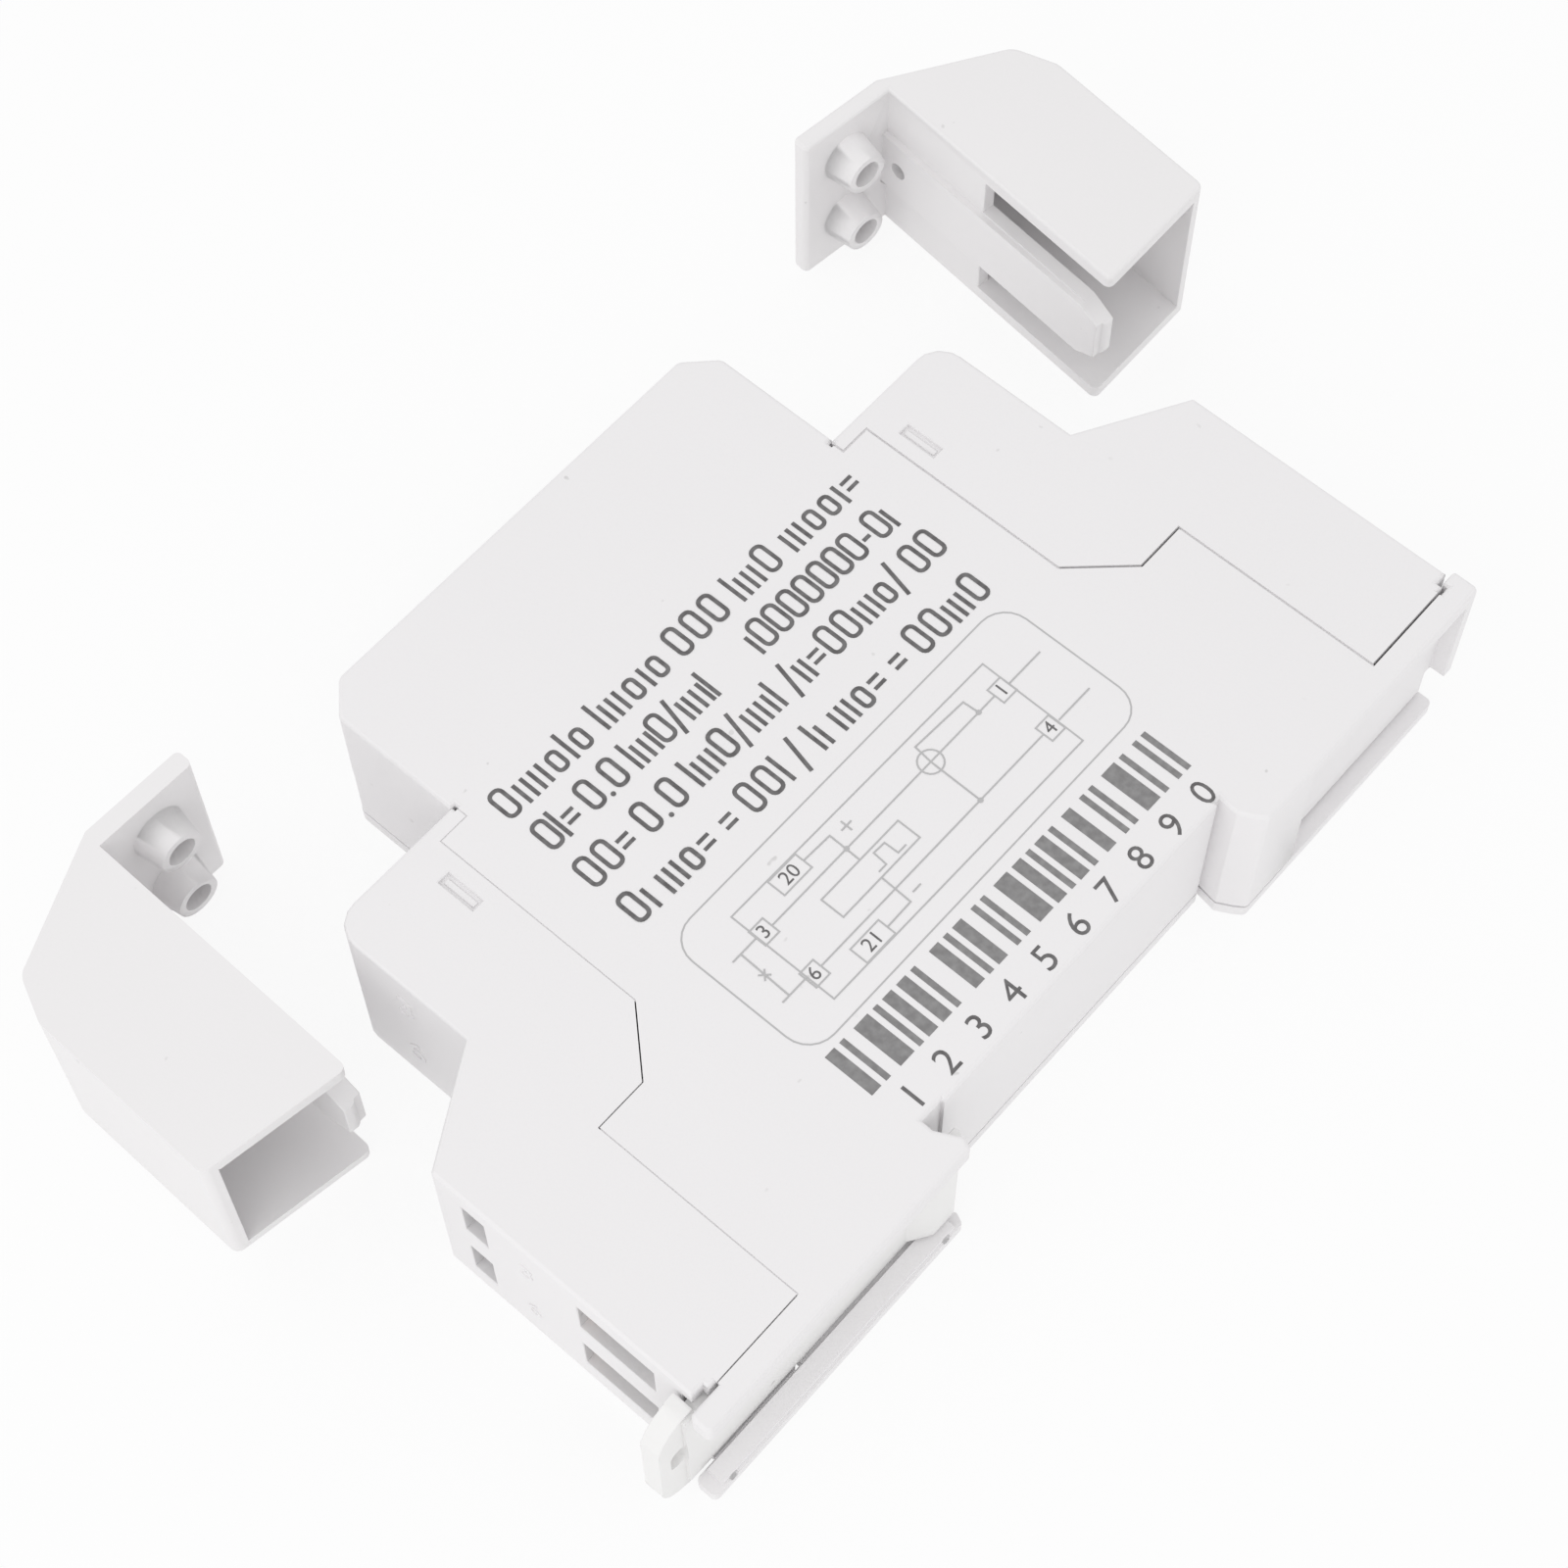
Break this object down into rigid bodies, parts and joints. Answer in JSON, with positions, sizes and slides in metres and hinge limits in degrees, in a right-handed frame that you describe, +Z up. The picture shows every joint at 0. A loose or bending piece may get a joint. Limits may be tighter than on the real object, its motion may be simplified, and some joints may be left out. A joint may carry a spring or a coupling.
{
  "type": "din rail energy meter",
  "caption": "One-module single-phase energy meter for a DIN rail, lying on its flat side with its terminal covers taken off beside it.",
  "frame": {"origin": "middle of the rail seat, at half the module's width", "axes": "X along the meter towards the line-in end, +Y from the rail seat to the front, +Z up through the module's width as it lies"},
  "size_m": [0.1209, 0.0708, 0.0176],
  "materials": {
    "housing": "fine satin, light grey",
    "cover": "fine satin, light grey",
    "clip": "milky, slightly translucent",
    "window": "clear polished",
    "display": "reflective display glass",
    "holder": "moulded",
    "lamp": "clear red",
    "board": "green solder mask",
    "steel": "zinc plated",
    "copper": "rolled copper",
    "manganin": "rolled",
    "film": "moulded box",
    "can": "sleeved can",
    "varistor": "dipped",
    "chip": "moulded"
  },
  "bodies": {
    "meter": {"case_shell": "housing", "case_back_plate": "housing", "terminal_block_upper": "housing", "terminal_block_lower": "housing", "terminal_cover_upper": "cover", "terminal_cover_lower": "cover", "line_bar_in": "copper", "line_bar_out": "copper", "neutral_bar": "copper", "shunt": "manganin", "pulse_tail_20": "copper", "pulse_tail_21": "copper", "display_window": "window", "display_glass": "display", "display_holder": "holder", "pulse_lamp": "lamp", "circuit_board": "board", "film_capacitor": "film", "smoothing_capacitor": "can", "varistor": "varistor", "metering_chip": "chip", "pulse_coupler": "chip"},
    "clip": {"rail_clip": "clip"},
    "screw_1": {"terminal_screw_1": "steel"},
    "screw_3": {"terminal_screw_3": "steel"},
    "screw_4": {"terminal_screw_4": "steel"},
    "screw_6": {"terminal_screw_6": "steel"},
    "screw_20": {"pulse_screw_20": "steel"},
    "screw_21": {"pulse_screw_21": "steel"},
    "clamp_1": {"cage_clamp_1": "steel"},
    "clamp_3": {"cage_clamp_3": "steel"},
    "clamp_4": {"cage_clamp_4": "steel"},
    "clamp_6": {"cage_clamp_6": "steel"},
    "clamp_20": {"pulse_clamp_20": "steel"},
    "clamp_21": {"pulse_clamp_21": "steel"}
  },
  "joints": [
    {"name": "rail_clip_slide", "type": "slide", "parent": "meter", "child": "clip", "axis": [-1, 0, 0], "range_m": [0, 0.003], "stiffness_N_per_m": 3000},
    {"name": "screw_1_turn", "type": "hinge", "parent": "meter", "child": "screw_1", "pos_m": [0.0399, 0.02, 0.00405], "axis": [0, -1, 0], "range_deg": [0, 2880]},
    {"name": "screw_3_turn", "type": "hinge", "parent": "meter", "child": "screw_3", "pos_m": [-0.0399, 0.02, 0.00405], "axis": [0, -1, 0], "range_deg": [0, 2880]},
    {"name": "screw_4_turn", "type": "hinge", "parent": "meter", "child": "screw_4", "pos_m": [0.0399, 0.02, -0.00405], "axis": [0, -1, 0], "range_deg": [0, 2880]},
    {"name": "screw_6_turn", "type": "hinge", "parent": "meter", "child": "screw_6", "pos_m": [-0.0399, 0.02, -0.00405], "axis": [0, -1, 0], "range_deg": [0, 2880]},
    {"name": "screw_20_turn", "type": "hinge", "parent": "meter", "child": "screw_20", "pos_m": [0.0306, 0.04, 0.00405], "axis": [0, -1, 0], "range_deg": [0, 1872]},
    {"name": "screw_21_turn", "type": "hinge", "parent": "meter", "child": "screw_21", "pos_m": [0.0306, 0.04, -0.00405], "axis": [0, -1, 0], "range_deg": [0, 1872]},
    {"name": "clamp_1_rise", "type": "slide", "parent": "meter", "child": "clamp_1", "axis": [0, 1, 0], "range_m": [0, 0.0056]},
    {"name": "clamp_3_rise", "type": "slide", "parent": "meter", "child": "clamp_3", "axis": [0, 1, 0], "range_m": [0, 0.0056]},
    {"name": "clamp_4_rise", "type": "slide", "parent": "meter", "child": "clamp_4", "axis": [0, 1, 0], "range_m": [0, 0.0056]},
    {"name": "clamp_6_rise", "type": "slide", "parent": "meter", "child": "clamp_6", "axis": [0, 1, 0], "range_m": [0, 0.0056]},
    {"name": "clamp_20_rise", "type": "slide", "parent": "meter", "child": "clamp_20", "axis": [0, 1, 0], "range_m": [0, 0.0026]},
    {"name": "clamp_21_rise", "type": "slide", "parent": "meter", "child": "clamp_21", "axis": [0, 1, 0], "range_m": [0, 0.0026]}
  ],
  "couplings": [
    {"joint": "screw_1_turn", "follows": "clamp_1_rise", "rad_per_m": 8975.5},
    {"joint": "screw_3_turn", "follows": "clamp_3_rise", "rad_per_m": 8975.5},
    {"joint": "screw_4_turn", "follows": "clamp_4_rise", "rad_per_m": 8975.5},
    {"joint": "screw_6_turn", "follows": "clamp_6_rise", "rad_per_m": 8975.5},
    {"joint": "screw_20_turn", "follows": "clamp_20_rise", "rad_per_m": 12566},
    {"joint": "screw_21_turn", "follows": "clamp_21_rise", "rad_per_m": 12566}
  ]
}
